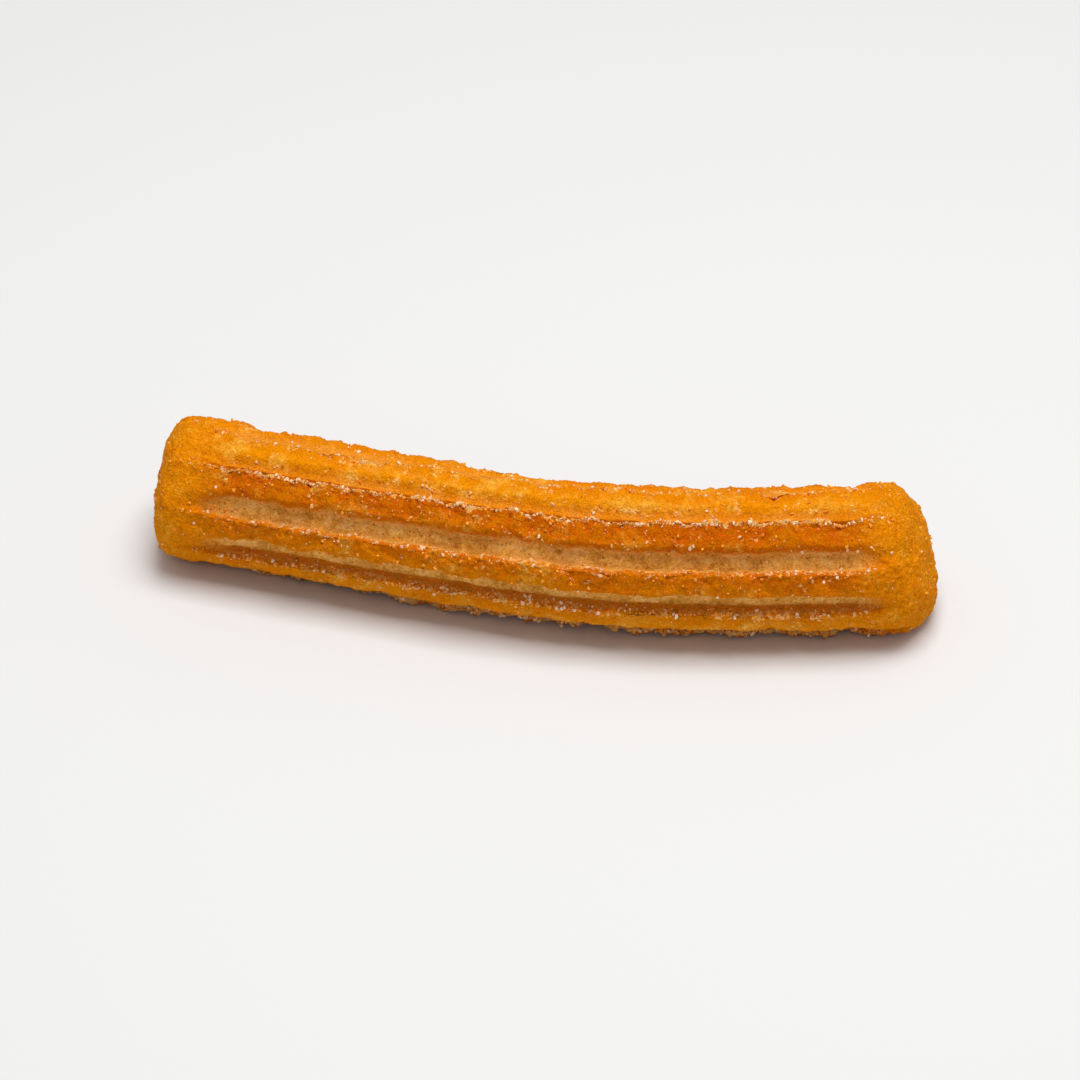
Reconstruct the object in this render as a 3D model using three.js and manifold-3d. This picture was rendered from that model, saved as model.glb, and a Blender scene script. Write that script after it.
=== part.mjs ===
// A churro: one stick of choux-like dough, piped through a nine-pointed star nozzle and fried.
// Nine broad ridges run along it, each gentle on one side and steep on the other, with a smooth
// valley between each two. The stick bows a little to one side, its ridges turn slowly about it, and
// its blunt ends are closed and smooth. It lies along X on its lowest ridges, which are pressed flat.
import * as THREE from "three";
import { mergeVertices } from "three/addons/utils/BufferGeometryUtils.js";
import Module from "manifold-3d";

// Millimetres and degrees. X is along the stick, -Y is its front and +Z is up.
const length = 130;
const crestRadius = 12.25; // centre line to the top of a ridge
const valleyDepth = { shallowest: 1.1, deepest: 2.2 };
const ridgeCount = 9;
// Going round from the front over the top, a ridge rises gently and falls steeply. 0 is the middle
// of a ridge and 1 the middle of a valley. Each side's place varies from ridge to ridge.
const steepEdge = { place: 0.58, varies: 0.15, top: 0.07, foot: 0.1 };
const gentleEdge = { place: 0.73, varies: 0.17, topShare: 0.5, foot: 0.18 };
const pinchedTo = 0.86; // where both sides end up as the valleys close at the stick's ends
const firstRidgeDeg = 51.5; // mid length, up from the front
const twistDeg = 10; // from the left end to the right one
const twistEasesDeg = 20; // how much of the twist is to the left of the middle
const bendReach = 13.7; // the slope of the two arms of the bend
const bendPlace = 0.22; // where it is furthest forward: 0 is mid length and 1 the right end
const bendSoftness = 0.38; // 0 is a kink
const pressedFlat = 0.55; // taken off the lowest ridges

const leftCap = { length: 7, bluntness: 3.4, smooth: 17, lean: 1.6 };
const rightCap = { length: 8.5, bluntness: 2.5, smooth: 14, lean: 3.5 };

const pointsPerRidge = 10;
const gathering = { closer: 0.5, place: 0.18 }; // the points lie closer at a ridge's steep side
const ringsAlong = 52;
const capShare = 0.15; // of the rings, at each end

const rad = THREE.MathUtils.degToRad;
const { lerp, smoothstep } = THREE.MathUtils;

// The stick's thickness swells and narrows slowly, as dough does when it is piped by hand.
function swell(along) {
  return 1 + 0.014 * Math.sin(2.1 * along + 0.6) + 0.011 * Math.sin(7.3 * along - 1.2);
}

// No two ridges are quite alike: each has its own height and width, and drifts a little to one side.
function ridgeHeight(ridge, along) {
  return 0.22 * Math.sin(2.4 * ridge + 0.9) + 0.16 * Math.sin(5 * along + 1.7 * ridge);
}

function ridgeDrift(ridge, along) {
  return 0.05 * Math.sin(2.2 * ridge) + 0.02 * Math.sin(4.2 * along + 2.3 * ridge);
}

// 0 on top of a ridge and 1 along the middle of a valley. Each ridge has sides of its own, and
// pinched goes from 0 to 1 where the valleys close at an end.
function valleyShape(fromRidge, ridge, pinched) {
  const away = Math.abs(fromRidge) * 2;
  if (fromRidge > 0) {
    const own = steepEdge.place + steepEdge.varies * Math.sin(0.55 - 1.6 * ridge);
    const edge = lerp(own, pinchedTo, pinched);
    return smoothstep(away, edge - steepEdge.top, edge + steepEdge.foot);
  }
  const own = gentleEdge.place + gentleEdge.varies * Math.sin(2.3 * ridge - 0.73);
  const edge = lerp(own, pinchedTo, pinched);
  return smoothstep(away, edge * gentleEdge.topShare, Math.min(edge + gentleEdge.foot, 1));
}

// The valleys low down at the front are the deepest, and those on top are the shallowest.
function depthOfValley(valley) {
  const share = 0.5 + 0.5 * Math.sin(0.323 * valley - 1.016);
  return lerp(valleyDepth.shallowest, valleyDepth.deepest, share);
}

// 1 along most of the stick, and 0 at its ends, where the dough was cut and closed over.
function valleysOpen(x) {
  const left = smoothstep(length / 2 + x, 0.1 * leftCap.smooth, leftCap.smooth);
  return left * smoothstep(length / 2 - x, 0.1 * rightCap.smooth, rightCap.smooth);
}

// x runs from -length / 2 to length / 2. pitches counts ridges, up from the first one.
function sectionRadius(x, pitches) {
  const along = x / length;
  const ridge = Math.round(pitches) % ridgeCount;
  const fromRidge = pitches - Math.round(pitches);
  const open = valleysOpen(x);
  const drifted = fromRidge + ridgeDrift(ridge, along) * (1 - Math.abs(fromRidge) * 2);
  const height = ridgeHeight(ridge, along) * open * (1 - valleyShape(fromRidge, ridge, 0));
  const depth = depthOfValley(Math.floor(pitches) % ridgeCount) * open;
  return crestRadius * swell(along) + height - depth * valleyShape(drifted, ridge, 1 - open);
}

// How far the ridges have turned about the stick by the time they reach x.
function turnedBy(x) {
  const along = x / length;
  return rad(firstRidgeDeg + twistDeg * along - twistEasesDeg * along ** 2);
}

// The centre line, seen from above: two nearly straight arms joined by a soft bend.
function centreLine(x) {
  return bendReach * (Math.hypot((2 * x) / length - bendPlace, bendSoftness) - bendSoftness);
}

// Each cap narrows as a superellipse. v is 0 at the left tip and 1 at the right one.
function station(v) {
  const left = v < capShare;
  if (!left && v <= 1 - capShare) {
    const share = (v - capShare) / (1 - 2 * capShare);
    const x = lerp(-length / 2 + leftCap.length, length / 2 - rightCap.length, share);
    return { x, width: 1 };
  }
  const cap = left ? leftCap : rightCap;
  const turn = ((left ? capShare - v : v - 1 + capShare) / capShare) * (Math.PI / 2);
  const inwards = length / 2 - cap.length + cap.length * Math.sin(turn) ** (2 / cap.bluntness);
  return { x: left ? -inwards : inwards, width: Math.cos(turn) ** (2 / cap.bluntness) };
}

// The cut that closed each end wasn't square, so the tip leans back towards the top.
function leanBack(x, up) {
  const left = smoothstep(-x, length / 2 - 2 * leftCap.length, length / 2);
  const right = smoothstep(x, length / 2 - 2 * rightCap.length, length / 2);
  return (up / crestRadius) * (left * leftCap.lean - right * rightCap.lean);
}

function churroPoint(u, v) {
  const { x, width } = station(v);
  const even = u * ridgeCount;
  const wave = Math.sin(2 * Math.PI * (even + gathering.place));
  const pitches = even + (gathering.closer / (2 * Math.PI)) * wave;
  const angle = (2 * Math.PI * pitches) / ridgeCount + turnedBy(x);
  const radius = sectionRadius(x, pitches) * width;
  const up = radius * Math.sin(angle);
  return new THREE.Vector3(
    x + leanBack(x, up),
    centreLine(x) - radius * Math.cos(angle),
    up,
  );
}

// A sphere's grid of latitudes and longitudes, with each vertex moved to its place on the stick.
function churroGeometry() {
  const geometry = new THREE.SphereGeometry(1, ridgeCount * pointsPerRidge, ringsAlong);
  const { position, uv } = geometry.attributes;
  for (let i = 0; i < position.count; i++) {
    const v = 1 - uv.getY(i);
    const tip = v === 0 || v === 1;
    const place = churroPoint(tip ? 0 : uv.getX(i), v);
    position.setXYZ(i, place.x, place.y, place.z);
  }
  return geometry;
}

const wasm = await Module();
wasm.setup();

function toSolid(geometry) {
  geometry.deleteAttribute("normal");
  geometry.deleteAttribute("uv");
  const merged = mergeVertices(geometry, 1e-3);
  const vertProperties = new Float32Array(merged.attributes.position.array);
  const triVerts = new Uint32Array(merged.index.array);
  return new wasm.Manifold(new wasm.Mesh({ numProp: 3, vertProperties, triVerts }));
}

function toGeometry(solid) {
  const { vertProperties, triVerts } = solid.getMesh();
  const geometry = new THREE.BufferGeometry();
  geometry.setAttribute("position", new THREE.BufferAttribute(vertProperties, 3));
  geometry.setIndex(new THREE.BufferAttribute(triVerts, 1));
  geometry.computeVertexNormals();
  return geometry;
}

// A block whose top is the floor that the stick rests on.
function floorBlock(floorHeight) {
  const block = new THREE.BoxGeometry(2 * length, 2 * length, length);
  return block.translate(0, 0, floorHeight - length / 2);
}

// The stick stands on its flattened ridges, with the middle of its outline over the origin.
function restingChurro() {
  const stick = toSolid(churroGeometry());
  const floorHeight = pressedFlat - crestRadius;
  const geometry = toGeometry(stick.subtract(toSolid(floorBlock(floorHeight))));
  geometry.computeBoundingBox();
  const centre = geometry.boundingBox.getCenter(new THREE.Vector3());
  return geometry.translate(-centre.x, -centre.y, -floorHeight);
}

const friedCrust = new THREE.MeshStandardMaterial({ color: "#d98a2b", roughness: 0.8, metalness: 0 });
const churro = new THREE.Mesh(restingChurro(), friedCrust);
churro.name = "churro";

const group = new THREE.Group();
group.add(churro);
export default group;
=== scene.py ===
import math
import bpy
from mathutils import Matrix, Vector


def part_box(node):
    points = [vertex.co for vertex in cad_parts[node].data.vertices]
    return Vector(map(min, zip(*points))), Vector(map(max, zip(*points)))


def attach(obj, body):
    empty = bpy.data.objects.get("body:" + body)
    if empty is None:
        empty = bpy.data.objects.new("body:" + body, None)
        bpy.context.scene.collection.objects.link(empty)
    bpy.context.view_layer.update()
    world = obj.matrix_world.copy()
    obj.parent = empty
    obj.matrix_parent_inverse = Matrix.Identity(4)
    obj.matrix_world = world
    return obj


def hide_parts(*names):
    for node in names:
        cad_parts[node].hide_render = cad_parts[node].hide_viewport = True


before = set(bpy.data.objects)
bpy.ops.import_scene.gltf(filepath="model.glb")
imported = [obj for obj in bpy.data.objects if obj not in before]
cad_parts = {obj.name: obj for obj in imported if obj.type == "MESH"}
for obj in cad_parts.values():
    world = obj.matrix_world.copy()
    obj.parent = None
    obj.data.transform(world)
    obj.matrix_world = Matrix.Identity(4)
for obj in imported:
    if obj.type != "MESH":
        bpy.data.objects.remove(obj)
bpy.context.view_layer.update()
churroLow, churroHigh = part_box("churro")
mm = 0.001


def readySockets(sockets):
    return [socket for socket in sockets if socket.enabled]


def pickSocket(sockets, key):
    ready = readySockets(sockets)
    if isinstance(key, int):
        return ready[key]
    return next(socket for socket in ready if socket.name == key)


class Value:
    # one socket, in a material or in a geometry tree, that can be used in an expression
    def __init__(self, nodes, socket):
        self.nodes = nodes
        self.socket = socket

    def out(self, name):
        return Value(self.nodes, pickSocket(self.socket.node.outputs, name))

    def math(self, operation, *others):
        return self.nodes.add("ShaderNodeMath", {"operation": operation}, [self, *others])

    def swapped(self, operation, other):
        return self.nodes.add("ShaderNodeMath", {"operation": operation}, [other, self])

    def __add__(self, other):
        return self.math("ADD", other)

    def __radd__(self, other):
        return self.swapped("ADD", other)

    def __sub__(self, other):
        return self.math("SUBTRACT", other)

    def __rsub__(self, other):
        return self.swapped("SUBTRACT", other)

    def __mul__(self, other):
        return self.math("MULTIPLY", other)

    def __rmul__(self, other):
        return self.swapped("MULTIPLY", other)

    def __truediv__(self, other):
        return self.math("DIVIDE", other)

    def __rtruediv__(self, other):
        return self.swapped("DIVIDE", other)

    def __pow__(self, other):
        return self.math("POWER", other)

    def __neg__(self):
        return self.math("MULTIPLY", -1.0)

    def __abs__(self):
        return self.math("ABSOLUTE")

    def atLeast(self, other):
        return self.math("MAXIMUM", other)

    def atMost(self, other):
        return self.math("MINIMUM", other)

    def clamped(self):
        return self.nodes.add("ShaderNodeClamp", {}, [self, 0.0, 1.0])

    def rising(self, start, end):
        # 0 before start, 1 after end and a smooth step between them
        settings = {"interpolation_type": "SMOOTHSTEP"}
        return self.nodes.add("ShaderNodeMapRange", settings, [self, start, end, 0.0, 1.0])

    def scaled(self, factor):
        return self.nodes.add("ShaderNodeVectorMath", {"operation": "SCALE"}, [self, factor])


class Nodes:
    def __init__(self, tree):
        self.tree = tree

    def add(self, kind, settings=None, values=None, output=0):
        node = self.tree.nodes.new(kind)
        for name, setting in (settings or {}).items():
            setattr(node, name, setting)
        pairs = values.items() if isinstance(values, dict) else enumerate(values or [])
        for key, value in pairs:
            socket = pickSocket(node.inputs, key)
            several = value if isinstance(value, list) else [value]
            for one in several:
                if isinstance(one, Value):
                    self.tree.links.new(one.socket, socket)
                else:
                    socket.default_value = one
        return Value(self, pickSocket(node.outputs, output))

    def vector(self, x, y, z):
        return self.add("ShaderNodeCombineXYZ", {}, [x, y, z])

    def split(self, vector):
        parts = self.add("ShaderNodeSeparateXYZ", {}, [vector])
        return parts.out("X"), parts.out("Y"), parts.out("Z")

    def noise(self, vector, size, detail=2.0, roughness=0.5, seed=0.0):
        # size is the width of one lump, in the vector's own unit. It runs from about -1 to 1
        settings = {"noise_dimensions": "4D"}
        values = {"Vector": vector, "W": seed, "Scale": 1.0 / size, "Detail": detail,
                  "Roughness": roughness}
        fac = self.add("ShaderNodeTexNoise", settings, values, "Fac")
        return (fac - 0.5) * 2.0

    def cells(self, vector, size, dimensions="3D", randomness=1.0):
        # the distance to the nearest of a scatter of points
        settings = {"voronoi_dimensions": dimensions, "feature": "F1"}
        values = {"Vector": vector, "Scale": 1.0 / size, "Randomness": randomness}
        return self.add("ShaderNodeTexVoronoi", settings, values, "Distance")

    def named(self, name, kind="FLOAT"):
        # one of a mesh's own attributes, in a geometry tree
        return self.add("GeometryNodeInputNamedAttribute", {"data_type": kind}, {"Name": name})

    def stored(self, geometry, name, value, kind="FLOAT", domain="POINT"):
        settings = {"data_type": kind, "domain": domain}
        values = {"Geometry": geometry, "Name": name, "Value": value}
        return self.add("GeometryNodeStoreNamedAttribute", settings, values)

    def painted(self, name):
        # a mesh's own attribute, in a material
        return self.add("ShaderNodeAttribute", {"attribute_name": name}, {}, "Fac")

    def mixed(self, factor, first, second, kind="FLOAT"):
        settings = {"data_type": kind, "clamp_factor": True}
        return self.add("ShaderNodeMix", settings, {"Factor": factor, "A": first, "B": second})


def addInputs(tree, inputs):
    # adds the tree's named inputs and gives each one's Value
    kinds = {float: "NodeSocketFloat", int: "NodeSocketInt"}
    for name, value in inputs.items():
        item = tree.interface.new_socket(name, in_out="INPUT", socket_type=kinds[type(value)])
        item.default_value = value
    nodes = Nodes(tree)
    group = tree.nodes.new("NodeGroupInput")
    return nodes, {name: Value(nodes, group.outputs[name]) for name in inputs}


def socketIdentifier(tree, name):
    items = tree.interface.items_tree
    return next(item.identifier for item in items if item.name == name and item.in_out == "INPUT")


def bakeNodes(name, tree, mesh, inputs):
    # runs a tree on a mesh and keeps the result as a plain mesh
    maker = bpy.data.objects.new(name + "Maker", mesh)
    bpy.context.scene.collection.objects.link(maker)
    modifier = maker.modifiers.new("Nodes", "NODES")
    modifier.node_group = tree
    for inputName, value in inputs.items():
        modifier[socketIdentifier(tree, inputName)] = value
    graph = bpy.context.evaluated_depsgraph_get()
    made = bpy.data.meshes.new_from_object(maker.evaluated_get(graph), depsgraph=graph)
    bpy.data.objects.remove(maker)
    piece = bpy.data.objects.new(name, made)
    made.name = name
    bpy.context.scene.collection.objects.link(piece)
    made.calc_loop_triangles()
    print(f"{name}: {len(made.loop_triangles)} triangles")
    return piece


def newMaterial(name):
    material = bpy.data.materials.new(name)
    material.use_nodes = True
    material.node_tree.nodes.clear()
    return material, Nodes(material.node_tree)


def finishMaterial(nodes, shader):
    output = nodes.tree.nodes.new("ShaderNodeOutputMaterial")
    nodes.tree.links.new(shader.socket, output.inputs["Surface"])


# the stick of dough, in millimetres and degrees
stick = {
    "Length": 130.0,
    "Crest radius": 12.25,
    "Shallowest valley": 1.1,
    "Deepest valley": 2.2,
    "Ridges": 9,
    "First ridge": 51.5,
    "Twist": 10.0,
    "Twist eases": 20.0,
    "Steep edge": 0.58,
    "Gentle edge": 0.73,
    "Pinched to": 0.86,
    "Gathering": 0.5,
    "Bend reach": 13.7,
    "Bend place": 0.22,
    "Bend softness": 0.38,
    "Pressed flat": 0.55,
    "Stray": 0.2,
    "Lobe length": 5.0,
    "Lobe height": 0.7,
    "Lump height": 0.8,
    "Grain height": 0.8,
    "End dents": 1.1,
    "Steps round": 252,
    "Steps along": 380,
}
leftEnd = {"length": 7.0, "bluntness": 3.4, "smooth": 17.0, "lean": 1.6}
rightEnd = {"length": 8.5, "bluntness": 2.5, "smooth": 14.0, "lean": 3.5}
capShare = 0.11  # of the rings, at each end
gatherPlace = 0.18  # where the steps lie closest, in pitches
ridgeSides = {  # 0 is the top of a ridge and 1 the middle of a valley
    "steepVaries": 0.15, "steepTop": 0.07, "steepFoot": 0.1,
    "gentleVaries": 0.17, "gentleTopShare": 0.5, "gentleFoot": 0.18}
bands = {  # where each band comes in and fades out, counted from the edge of its side of the ridge
    "crest": ((-0.25, -0.09), (0.0, 0.08)),
    "flank": ((-0.02, 0.05), (0.12, 0.22)),
    "lowerRim": ((-0.35, -0.15), (-0.05, 0.1))}
reliefSizes = {  # the width of each kind of lump, in millimetres
    "broad": 14.0, "dent": 5.5, "warp": 4.0, "lump": 2.4, "crumb": 1.1, "grain": 0.7}
lobeCell = {"randomness": 0.85, "reach": 0.62}


def buildStickTree(material):
    tree = bpy.data.node_groups.new("stickOfDough", "GeometryNodeTree")
    nodes, size = addInputs(tree, stick)
    tree.interface.new_socket("Geometry", in_out="OUTPUT", socket_type="NodeSocketGeometry")
    halfLength = size["Length"] / 2.0

    # a closed globe's latitudes become rings along the stick
    globe = nodes.add("GeometryNodeMeshUVSphere", {}, {
        "Segments": size["Steps round"], "Rings": size["Steps along"], "Radius": 1.0})
    globeX, globeY, globeZ = nodes.split(nodes.add("GeometryNodeInputPosition"))
    around = nodes.add("ShaderNodeMath", {"operation": "ARCTAN2"}, [globeY, globeX])
    v = 1.0 - globeZ.atMost(1.0).atLeast(-1.0).math("ARCCOSINE") / math.pi
    onRight = v.math("GREATER_THAN", 0.5)
    side = onRight * 2.0 - 1.0
    capLength = nodes.mixed(onRight, leftEnd["length"], rightEnd["length"])
    bluntness = nodes.mixed(onRight, leftEnd["bluntness"], rightEnd["bluntness"])
    turn = ((capShare - v.atMost(1.0 - v)) / capShare).clamped() * (math.pi / 2)
    share = ((v - capShare) / (1.0 - 2.0 * capShare)).clamped()
    straight = nodes.mixed(share, leftEnd["length"] - halfLength, halfLength - rightEnd["length"])
    x = straight + side * capLength * turn.math("SINE").atLeast(0.0) ** (2.0 / bluntness)
    width = turn.math("COSINE").atLeast(0.0) ** (2.0 / bluntness)
    along = x / size["Length"]

    # pitches counts ridges, up from the first one, and the steps lie closer at each steep side
    even = around / (2.0 * math.pi) * size["Ridges"]
    wave = ((even + gatherPlace) * (2.0 * math.pi)).math("SINE")
    pitches = even + size["Gathering"] / (2.0 * math.pi) * wave
    nearest = pitches.math("ROUND")
    ridge = nearest.math("FLOORED_MODULO", size["Ridges"])
    fromRidge = pitches - nearest
    turned = size["First ridge"] + size["Twist"] * along - size["Twist eases"] * along * along
    angle = pitches / size["Ridges"] * (2.0 * math.pi) + turned * math.radians(1.0)

    # no two ridges are quite alike
    def wavy(turns, tall):
        return turns.math("SINE") * tall

    sides = ridgeSides
    swell = (wavy(along * 2.1 + 0.6, 0.014) + wavy(along * 7.3 - 1.2, 0.011)) + 1.0
    height = wavy(ridge * 2.4 + 0.9, 0.22) + wavy(along * 5.0 + ridge * 1.7, 0.16)
    drift = wavy(ridge * 2.2, 0.05) + wavy(along * 4.2 + ridge * 2.3, 0.02)
    ownSteep = size["Steep edge"] + wavy(0.55 - ridge * 1.6, sides["steepVaries"])
    ownGentle = size["Gentle edge"] + wavy(ridge * 2.3 - 0.73, sides["gentleVaries"])
    leftOpen = (halfLength + x).rising(0.1 * leftEnd["smooth"], leftEnd["smooth"])
    rightOpen = (halfLength - x).rising(0.1 * rightEnd["smooth"], rightEnd["smooth"])
    valleysOpen = leftOpen * rightOpen

    def valleyShape(offset, pinched):
        away = abs(offset) * 2.0
        steep = nodes.mixed(pinched, ownSteep, size["Pinched to"])
        gentle = nodes.mixed(pinched, ownGentle, size["Pinched to"])
        upper = away.rising(steep - sides["steepTop"], steep + sides["steepFoot"])
        gentleFoot = (gentle + sides["gentleFoot"]).atMost(1.0)
        lower = away.rising(gentle * sides["gentleTopShare"], gentleFoot)
        shape = nodes.mixed(offset.math("GREATER_THAN", 0.0), lower, upper)
        return shape, away - steep, away - gentle

    valley = valleyShape(fromRidge, 0.0)[0]
    lane = nodes.vector(x, ridge * 9.1, 0.0)
    stray = nodes.noise(lane, 6.0, 1.0, seed=2.0) + nodes.noise(lane, 1.5, 1.0, seed=4.0) * 0.6
    drifted = fromRidge + (drift + stray * size["Stray"]) * (1.0 - abs(fromRidge) * 2.0)
    valleyDrifted, pastSteep, pastGentle = valleyShape(drifted, 1.0 - valleysOpen)
    valleyNumber = pitches.math("FLOOR").math("FLOORED_MODULO", size["Ridges"])
    bare = wavy(valleyNumber * 0.323 - 1.016, 0.5) + 0.5  # most in the valleys low at the front
    depth = nodes.mixed(bare, size["Shallowest valley"], size["Deepest valley"]) * valleysOpen
    crestHeight = size["Crest radius"] * swell + height * valleysOpen * (1.0 - valley)
    radius = (crestHeight - depth * valleyDrifted) * width

    up = radius * angle.math("SINE")
    forward = radius * angle.math("COSINE")
    leftLean = (-x).rising(halfLength - 2.0 * leftEnd["length"], halfLength) * leftEnd["lean"]
    rightLean = x.rising(halfLength - 2.0 * rightEnd["length"], halfLength) * rightEnd["lean"]
    lean = up / size["Crest radius"] * (leftLean - rightLean)
    fromBend = along * 2.0 - size["Bend place"]
    soft = size["Bend softness"]
    centre = ((fromBend * fromBend + soft * soft).math("SQRT") - soft) * size["Bend reach"]
    place = nodes.vector(x + lean, centre - forward, up)

    # what the relief and the colours read, stored before the points leave the globe
    def band(name, past):
        comesIn, fadesOut = bands[name]
        return past.rising(*comesIn) * (1.0 - past.rising(*fadesOut))

    onSteepSide = drifted.math("GREATER_THAN", 0.0)
    # the flank band also marks where the crust material paints shade just past each crest
    crestLine = onSteepSide * band("crest", pastSteep)
    flank = onSteepSide * band("flank", pastSteep)
    lowerRim = (1.0 - onSteepSide) * band("lowerRim", pastGentle)
    ownSugar = wavy(ridge * 2.05 + 1.57, 0.4) + 0.6
    ownBrown = wavy(ridge * 4.15 + 1.25, 0.25)
    marks = {
        "ridge": 1.0 - valleyDrifted * valleysOpen,
        "flank": flank * valleysOpen * ownSugar,
        "crest": (crestLine * ownSugar + lowerRim * 0.08) * valleysOpen,
        "end": 1.0 - valleysOpen,
        "tan": bare,
        "brown": (ownBrown + drifted * 0.5) * valleysOpen + 0.5,
    }
    body = globe
    for name, value in marks.items():
        body = nodes.stored(body, name, value)
    lobeLane = nodes.vector(x / size["Lobe length"] + ridge * 17.3, drifted * 1.1, 0.0)
    body = nodes.stored(body, "lane", lobeLane, "FLOAT_VECTOR")
    body = nodes.add("GeometryNodeSetPosition", {}, {"Geometry": body, "Position": place})
    body = nodes.add("GeometryNodeFlipFaces", {}, [body])  # the move turned the globe inside out

    # the middle of its outline goes over the middle of the solid's
    outline = nodes.add("GeometryNodeBoundBox", {}, [body])
    lowX, lowY = nodes.split(outline.out("Min"))[:2]
    highX, highY = nodes.split(outline.out("Max"))[:2]
    middle = (churroLow + churroHigh) / 2.0 / mm
    floorUp = size["Crest radius"] - size["Pressed flat"]
    shift = nodes.vector(middle.x - (lowX + highX) / 2.0, middle.y - (lowY + highY) / 2.0, floorUp)
    body = nodes.add("GeometryNodeSetPosition", {}, {"Geometry": body, "Offset": shift})

    # the crust's relief, along the normal
    position = nodes.add("GeometryNodeInputPosition")
    ridgeHere = nodes.named("ridge")
    crestHere = nodes.named("crest")
    endHere = nodes.named("end")
    crustHere = ridgeHere.atLeast(nodes.named("flank")) * (1.0 - endHere * 0.5)
    laneX, laneY = nodes.split(nodes.named("lane", "FLOAT_VECTOR"))[:2]
    wide = reliefSizes
    warp = nodes.noise(position, wide["warp"], 1.0, seed=3.0) * 0.25
    lobePlace = nodes.vector(laneX + warp, laneY, 0.0)
    fromLobe = nodes.cells(lobePlace, 1.0, dimensions="2D", randomness=lobeCell["randomness"])
    lobes = 0.5 - (fromLobe / lobeCell["reach"]) ** 2.0
    lumps = nodes.noise(position, wide["lump"], 2.0, seed=5.0) * size["Lump height"]
    crumbs = nodes.noise(position, wide["crumb"], 1.0, seed=6.0) * size["Lump height"]
    gritty = nodes.noise(position, wide["grain"], 1.0, seed=7.0) * size["Grain height"]
    relief = nodes.noise(position, wide["broad"], 1.0, seed=1.0) * 0.35 - 0.25
    # the lobes are lowest on a ridge's gentle side
    lobed = crustHere * (laneY.rising(-0.3, 0.05) * 0.8 + 0.2) * (1.0 - endHere)
    relief = relief + lobes * size["Lobe height"] * lobed
    rough = (nodes.named("brown") + 0.25).atMost(1.1)  # the browner, the rougher
    relief = relief + lumps * (crustHere * 0.8 + 0.2) * rough + crumbs * crestHere
    relief = relief + gritty * (crustHere * 0.9 + 0.1) * rough
    relief = relief + nodes.noise(position, wide["dent"], 2.0, seed=8.0) * endHere * size["End dents"]
    normal = nodes.add("GeometryNodeInputNormal")
    body = nodes.add("GeometryNodeSetPosition", {}, {"Geometry": body, "Offset": normal.scaled(relief)})

    # nothing goes below the surface that it lies on
    bodyX, bodyY, bodyZ = nodes.split(nodes.add("GeometryNodeInputPosition"))
    body = nodes.add("GeometryNodeSetPosition", {}, {
        "Geometry": body, "Position": nodes.vector(bodyX, bodyY, bodyZ.atLeast(0.0))})
    body = nodes.add("GeometryNodeTransform", {}, {"Geometry": body, "Scale": (mm,) * 3})
    body = nodes.add("GeometryNodeSetShadeSmooth", {}, {"Geometry": body, "Shade Smooth": True})
    body = nodes.add("GeometryNodeRealizeInstances", {}, [body])
    body = nodes.add("GeometryNodeSetMaterial", {}, {"Geometry": body, "Material": material})
    output = tree.nodes.new("NodeGroupOutput")
    tree.links.new(body.socket, output.inputs["Geometry"])
    return tree


# the crust's colours, from its golden ridges to its tan valleys, with painted shade where each ridge
# drops steeply into its valley
crustLook = {
    "ridge": (0.84, 0.27, 0.001, 1.0),
    "ridgeDeep": (0.70, 0.125, 0.0005, 1.0),
    "ridgePale": (0.92, 0.41, 0.035, 1.0),
    "frosting": (0.94, 0.54, 0.17, 1.0),
    "fleck": (0.42, 0.065, 0.001, 1.0),
    "tanValley": (0.88, 0.435, 0.085, 1.0),
    # darker gold: the bare crust's own colour plus painted shade in the narrow creases
    "shadedGoldValley": (0.76, 0.225, 0.002, 1.0),
    "bleached": (0.97, 0.60, 0.22, 1.0),
    "pit": (0.52, 0.19, 0.012, 1.0),
    # painted shade: the dark colour laid on the steep side just past each crest
    "paintedGrooveShade": (0.48, 0.105, 0.001, 1.0),
    "end": (0.84, 0.26, 0.001, 1.0),
    "roughness": 0.74,
}
crustGrain = {  # the width of each kind of mark, in millimetres
    "broad": 9.0,
    "patch": 3.6,
    "clump": 1.1,
    "pit": 0.9,
    "fine": 0.55,
    "grit": 0.5,
    "speckle": 0.25,
}


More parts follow.
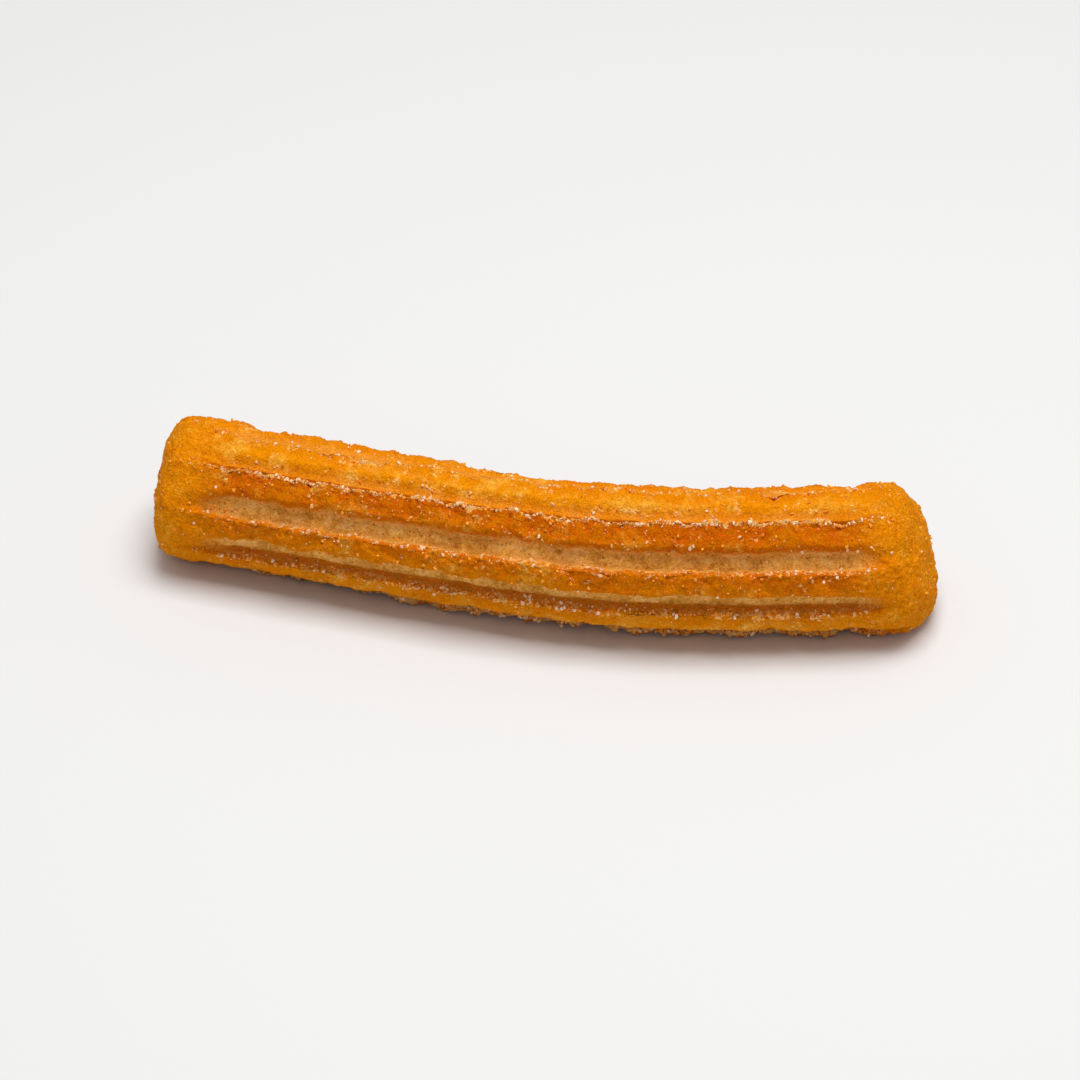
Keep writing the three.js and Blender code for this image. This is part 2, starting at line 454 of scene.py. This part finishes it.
def makeCrust():
    look, grain = crustLook, crustGrain
    material, nodes = newMaterial("friedCrust")
    place = nodes.add("ShaderNodeTexCoord", {}, {}, "Object").scaled(1.0 / mm)
    ridge, flank, crest = nodes.painted("ridge"), nodes.painted("flank"), nodes.painted("crest")
    end, tan, brown = nodes.painted("end"), nodes.painted("tan"), nodes.painted("brown")

    broad = nodes.noise(place, grain["broad"], 2.0, seed=11.0)
    patches = nodes.noise(place, grain["patch"], 3.0, 0.6, seed=12.0)
    clumps = nodes.noise(place, grain["clump"], 2.0, 0.6, seed=16.0)
    fine = nodes.noise(place, grain["fine"], 3.0, 0.65, seed=13.0)
    speckle = nodes.noise(place, grain["speckle"], 2.0, 0.6, seed=14.0)
    coatEdge = patches * 0.3 + clumps * 0.2 + fine * 0.35
    coat = (ridge.atLeast(flank) + (1.0 - tan) * 0.15 + coatEdge).rising(0.22, 0.62)

    # the coated ridges: golden, browner in places, with sugar baked on along their crests
    uneven = patches * 0.6 + clumps * 0.8 + fine * 1.0
    deep = (brown * 1.3 - 0.2 + broad * 0.5 + uneven * (brown * 1.2 + 0.2)).clamped()
    pale = (patches * 2.0 - broad * 0.7 + clumps * 0.4 + fine * 0.5 - brown * 0.6 + 0.2).clamped()
    ridgeColour = nodes.mixed(deep, look["ridge"], look["ridgeDeep"], "RGBA")
    ridgeColour = nodes.mixed(pale, ridgeColour, look["ridgePale"], "RGBA")
    frosted = (crest * 0.68 + clumps * 1.3 + fine * 0.8 + patches * 0.4).rising(0.35, 0.7)
    ridgeColour = nodes.mixed(frosted * 0.85, ridgeColour, look["frosting"], "RGBA")
    flecked = (speckle * 0.6 - fine).rising(0.3, 0.5)
    ridgeColour = nodes.mixed(flecked * brown, ridgeColour, look["fleck"], "RGBA")

    # the bare valleys: the deep ones tan, matt and pitted, the shallow ones a darker gold, partly their
    # own colour and partly painted shade in their narrow creases
    pits = 1.0 - nodes.cells(place, grain["pit"]).rising(0.1, 0.32)
    # the shallow valleys' colour is darkened as painted shade in their narrow creases
    valleyColour = nodes.mixed((tan + patches * 0.3).clamped(), look["shadedGoldValley"],
                               look["tanValley"], "RGBA")
    stained = (0.1 - broad * 0.6 - patches * 1.3 - clumps * 1.0 - fine * 0.5).clamped()
    valleyColour = nodes.mixed(stained * tan, valleyColour, look["pit"], "RGBA")
    valleyColour = nodes.mixed(pits * tan * 0.8, valleyColour, look["pit"], "RGBA")
    bleached = (patches * 1.6 + clumps * 1.2 + fine * 0.6).clamped()
    valleyColour = nodes.mixed(bleached * tan * 0.8, valleyColour, look["bleached"], "RGBA")

    # the closed ends: smooth and golden, mottled paler and browner
    endColour = nodes.mixed((0.3 + broad * 1.2 + patches * 1.2 + clumps * 0.7).clamped(),
                            look["end"], look["ridge"], "RGBA")
    endColour = nodes.mixed((patches + clumps * 0.8 + fine - 0.1).clamped(), endColour,
                            look["ridgePale"], "RGBA")
    endColour = nodes.mixed((-0.1 - patches * 1.2 - clumps - fine).clamped() * 0.8, endColour,
                            look["ridgeDeep"], "RGBA")
    skin = nodes.mixed(coat, valleyColour, ridgeColour, "RGBA")
    # painted shade: the flank band just past each crest, on the steep side, is darkened to stand in for
    # the shadow where the ridge drops into its valley, broken up by clumps
    skin = nodes.mixed(flank * (0.8 - clumps * 0.7), skin, look["paintedGrooveShade"], "RGBA")
    skin = nodes.mixed((end * 1.1 + patches * 0.3).clamped(), skin, endColour, "RGBA")
    skin = skin.scaled(fine * 0.4 + speckle * 0.6 + 1.0)

    roughness = (patches * 0.08 + fine * 0.08 + look["roughness"]).clamped()
    grit = nodes.noise(place, grain["grit"], 3.0, 0.7, seed=15.0) * (coat * brown + 0.2)
    bumps = grit * 0.42 + fine * 0.05 + speckle * 0.13 - pits * 0.08 * (1.0 - coat)
    bump = nodes.add("ShaderNodeBump", {}, {"Strength": 1.0, "Distance": mm, "Height": bumps})
    shader = nodes.add("ShaderNodeBsdfPrincipled", {}, {
        "Base Color": skin, "Roughness": roughness, "Normal": bump,
        "Specular IOR Level": 0.025, "Subsurface Weight": 0.1,
        "Subsurface Radius": (1.0, 0.4, 0.1), "Subsurface Scale": mm})
    finishMaterial(nodes, shader)
    return material


crust = makeCrust()
stickMesh = bpy.data.meshes.new("stickSeed")
body = bakeNodes("churro_body", buildStickTree(crust), stickMesh, stick)
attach(body, "root")
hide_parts("churro")


# what clings to the crust. Sizes are in millimetres, and crest, ridge, valley and end are how many
# there are on a square millimetre of that part
clinging = {
    "sugar_crystals": {
        "slot": "sugar", "kind": "crystal", "smallest": 0.35, "largest": 0.95, "skew": 1.7,
        "crest": 4.2, "ridge": 0.025, "valley": 0.004, "end": 0.015, "cluster": 0.98, "clusterSize": 2.4,
        "lift": 0.02, "seed": 3},
    "sugar_grains": {
        "slot": "sugar", "kind": "crystal", "smallest": 0.16, "largest": 0.42, "skew": 1.6,
        "crest": 5.0, "ridge": 0.07, "valley": 0.025, "end": 0.04, "cluster": 0.85, "clusterSize": 2.2,
        "lift": 0.1, "seed": 11},
    "crust_crumbs": {
        "slot": "fried_crust", "kind": "crumb", "smallest": 0.25, "largest": 0.8, "skew": 1.7,
        "crest": 2.4, "ridge": 0.16, "valley": 0.02, "end": 0.14, "cluster": 0.6, "clusterSize": 2.6,
        "lift": 0.0, "seed": 23},
    "cinnamon_specks": {
        "slot": "cinnamon", "kind": "crumb", "smallest": 0.12, "largest": 0.30, "skew": 2.0,
        "crest": 0.04, "ridge": 0.04, "valley": 0.02, "end": 0.02, "cluster": 0.0, "clusterSize": 3.0,
        "lift": 0.05, "seed": 37},
}
shapes = {
    "crystal": {"count": 6, "proportions": (1.0, 0.78, 0.62), "jitter": 0.16},
    "crumb": {"count": 6, "proportions": (1.0, 0.85, 0.7), "jitter": 0.3},
}
fullTurn = 6.283  # in radians


def buildGrainTree(name, grain, material):
    tree = bpy.data.node_groups.new(name + "Scatter", "GeometryNodeTree")
    tree.interface.new_socket("Geometry", in_out="INPUT", socket_type="NodeSocketGeometry")
    sizes = {key: float(grain[key]) for key in
             ("smallest", "largest", "skew", "crest", "ridge", "valley", "end", "cluster", "lift")}
    nodes, size = addInputs(tree, sizes)
    tree.interface.new_socket("Geometry", in_out="OUTPUT", socket_type="NodeSocketGeometry")
    entry = tree.nodes.new("NodeGroupInput")
    surface = Value(nodes, entry.outputs["Geometry"])
    seed = grain["seed"]
    surface = nodes.add("GeometryNodeTransform", {}, {"Geometry": surface, "Scale": (1.0 / mm,) * 3})

    ridge = nodes.named("ridge") * (nodes.named("brown") * 1.5).atLeast(0.3)
    crest, end = nodes.named("crest"), nodes.named("end")
    position = nodes.add("GeometryNodeInputPosition")
    height = nodes.split(position)[2]
    facingUp = nodes.split(nodes.add("GeometryNodeInputNormal"))[2]
    clump = nodes.noise(position, grain["clusterSize"], 2.0, 0.6, seed=seed).rising(-0.15, 0.35)
    clump = clump * size["cluster"] + (1.0 - size["cluster"])
    body = (ridge * size["ridge"] + size["valley"]) * (1.0 - end) + end * size["end"]
    density = (crest * size["crest"] * clump + body) * facingUp.rising(-1.2, 0.6)
    density = density * height.rising(1.0, 1.4)  # none where it lies on the floor
    points = nodes.add("GeometryNodeDistributePointsOnFaces", {"distribute_method": "RANDOM"},
                       {"Mesh": surface, "Density": density, "Seed": seed})

    # a handful of shapes, each a small ball with its corners moved about
    shape = shapes[grain["kind"]]
    kinds = []
    for number in range(shape["count"]):
        block = nodes.add("GeometryNodeMeshIcoSphere", {}, {"Radius": 0.5, "Subdivisions": 1})
        moved = nodes.add("FunctionNodeRandomValue", {"data_type": "FLOAT_VECTOR"}, {
            "Min": (-shape["jitter"],) * 3, "Max": (shape["jitter"],) * 3, "Seed": seed * 10 + number})
        block = nodes.add("GeometryNodeSetPosition", {}, {"Geometry": block, "Offset": moved})
        block = nodes.add("GeometryNodeConvexHull", {}, [block])
        block = nodes.add("GeometryNodeTransform", {}, {
            "Geometry": block, "Scale": shape["proportions"]})
        kinds.append(nodes.add("GeometryNodeGeometryToInstance", {}, [block]))
    handful = nodes.add("GeometryNodeJoinGeometry", {}, {0: kinds})

    chance = nodes.add("FunctionNodeRandomValue", {"data_type": "FLOAT"}, {
        "Min": 0.0, "Max": 1.0, "Seed": seed + 1})
    width = size["smallest"] + (size["largest"] - size["smallest"]) * chance ** size["skew"]
    raised = points.out("Normal").scaled(width * size["lift"])
    cloud = nodes.add("GeometryNodeSetPosition", {}, {"Geometry": points, "Offset": raised})
    rotation = nodes.add("FunctionNodeRandomValue", {"data_type": "FLOAT_VECTOR"}, {
        "Min": (0.0, 0.0, 0.0), "Max": (fullTurn,) * 3, "Seed": seed + 2})
    which = nodes.add("FunctionNodeRandomValue", {"data_type": "INT"}, {
        "Min": 0, "Max": shape["count"] - 1, "Seed": seed + 3})
    placed = nodes.add("GeometryNodeInstanceOnPoints", {}, {
        "Points": cloud, "Instance": handful, "Pick Instance": True, "Instance Index": which,
        "Rotation": rotation, "Scale": width})
    tint = nodes.add("FunctionNodeRandomValue", {"data_type": "FLOAT"}, {
        "Min": 0.0, "Max": 1.0, "Seed": seed + 4})
    placed = nodes.stored(placed, "tint", tint, domain="INSTANCE")
    loose = nodes.add("GeometryNodeRealizeInstances", {}, [placed])
    loose = nodes.add("GeometryNodeTransform", {}, {"Geometry": loose, "Scale": (mm,) * 3})
    loose = nodes.add("GeometryNodeSetMaterial", {}, {"Geometry": loose, "Material": material})
    output = tree.nodes.new("NodeGroupOutput")
    tree.links.new(loose.socket, output.inputs["Geometry"])
    return tree, sizes


# each grain's colour lies somewhere between its dark one and its light one
grainLooks = {
    "sugar": {
        "name": "sugarCrystal", "dark": (0.92, 0.46, 0.13, 1.0), "light": (0.98, 0.77, 0.55, 1.0),
        "roughness": 0.25,
        "fixed": {"Specular IOR Level": 0.5, "Transmission Weight": 0.1, "IOR": 1.5}},
    "fried_crust": {
        "name": "crustCrumb", "dark": (0.74, 0.20, 0.006, 1.0), "light": (0.92, 0.40, 0.04, 1.0),
        "roughness": 0.6,
        "fixed": {"Specular IOR Level": 0.2}},
    "cinnamon": {
        "name": "cinnamonSpeck", "dark": (0.07, 0.018, 0.004, 1.0), "light": (0.26, 0.08, 0.015, 1.0),
        "roughness": 0.7,
        "fixed": {"Specular IOR Level": 0.2}},
}


def makeGrainMaterial(look):
    material, nodes = newMaterial(look["name"])
    tint = nodes.painted("tint")
    place = nodes.add("ShaderNodeTexCoord", {}, {}, "Object").scaled(1.0 / mm)
    cloudy = nodes.noise(place, 0.3, 1.0, seed=51.0) * 0.25
    colour = nodes.mixed((tint + cloudy).clamped(), look["dark"], look["light"], "RGBA")
    roughness = (tint * 0.2 + look["roughness"]).clamped()
    shader = nodes.add("ShaderNodeBsdfPrincipled", {}, {
        "Base Color": colour, "Roughness": roughness, **look["fixed"]})
    finishMaterial(nodes, shader)
    return material


grainMaterials = {slot: makeGrainMaterial(look) for slot, look in grainLooks.items()}
print("materials: " + ", ".join(material.name for material in [crust, *grainMaterials.values()]))
for pieceName, grain in clinging.items():
    scatterTree, scatterSizes = buildGrainTree(pieceName, grain, grainMaterials[grain["slot"]])
    piece = bakeNodes(pieceName, scatterTree, body.data, scatterSizes)
    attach(piece, "root")


# the floor, the light and the camera, in metres and degrees
studio = {
    "floor": (0.73, 0.73, 0.725),
    "floorSize": 3.0,
    "world": (1.0, 1.0, 1.0),
    "worldStrength": 0.42,
    "azimuth": 6.8,
    "elevation": 35.9,
    "distance": 0.755,
    "lens": 152.0,
    "lookAt": (0.0, 0.0, 0.01),
    "lightPlace": (0.08, -0.02, 0.85),
    "lightAim": (0.0, 0.0, 0.0),
    "lightWidth": 0.5,
    "lightPower": 6.7,
}


def makeFloor():
    half = studio["floorSize"] / 2
    mesh = bpy.data.meshes.new("floor")
    corners = [(-half, -half, 0), (half, -half, 0), (half, half, 0), (-half, half, 0)]
    mesh.from_pydata(corners, [], [(0, 1, 2, 3)])
    floor = bpy.data.objects.new("floor", mesh)
    bpy.context.scene.collection.objects.link(floor)
    material, nodes = newMaterial("paleFloor")
    shader = nodes.add("ShaderNodeBsdfPrincipled", {}, {
        "Base Color": (*studio["floor"], 1.0), "Roughness": 0.9, "Specular IOR Level": 0.2})
    finishMaterial(nodes, shader)
    mesh.materials.append(material)


def makeLight():
    data = bpy.data.lights.new("overhead", "AREA")
    data.shape = "SQUARE"
    data.size = studio["lightWidth"]
    data.energy = studio["lightPower"]
    light = bpy.data.objects.new("overhead", data)
    light.location = studio["lightPlace"]
    towards = Vector(studio["lightAim"]) - Vector(studio["lightPlace"])
    light.rotation_euler = towards.to_track_quat("-Z", "Y").to_euler()
    bpy.context.scene.collection.objects.link(light)


def makeWorld():
    world = bpy.data.worlds.new("softRoom")
    world.use_nodes = True
    background = world.node_tree.nodes["Background"]
    background.inputs["Color"].default_value = (*studio["world"], 1.0)
    background.inputs["Strength"].default_value = studio["worldStrength"]
    bpy.context.scene.world = world


def makeCamera():
    side = math.radians(studio["azimuth"])
    rise = math.radians(studio["elevation"])
    back = (math.sin(side) * math.cos(rise), -math.cos(side) * math.cos(rise), math.sin(rise))
    data = bpy.data.cameras.new("camera")
    data.lens = studio["lens"]
    data.sensor_width = 36.0
    data.clip_start = 0.01
    data.clip_end = 20.0
    camera = bpy.data.objects.new("camera", data)
    camera.location = Vector(studio["lookAt"]) + Vector(back) * studio["distance"]
    camera.rotation_euler = (-Vector(back)).to_track_quat("-Z", "Y").to_euler()
    bpy.context.scene.collection.objects.link(camera)
    bpy.context.scene.camera = camera


makeFloor()
makeWorld()
makeLight()
makeCamera()
bpy.context.scene.view_settings.view_transform = "Standard"
print("studio: floor, soft light and camera")
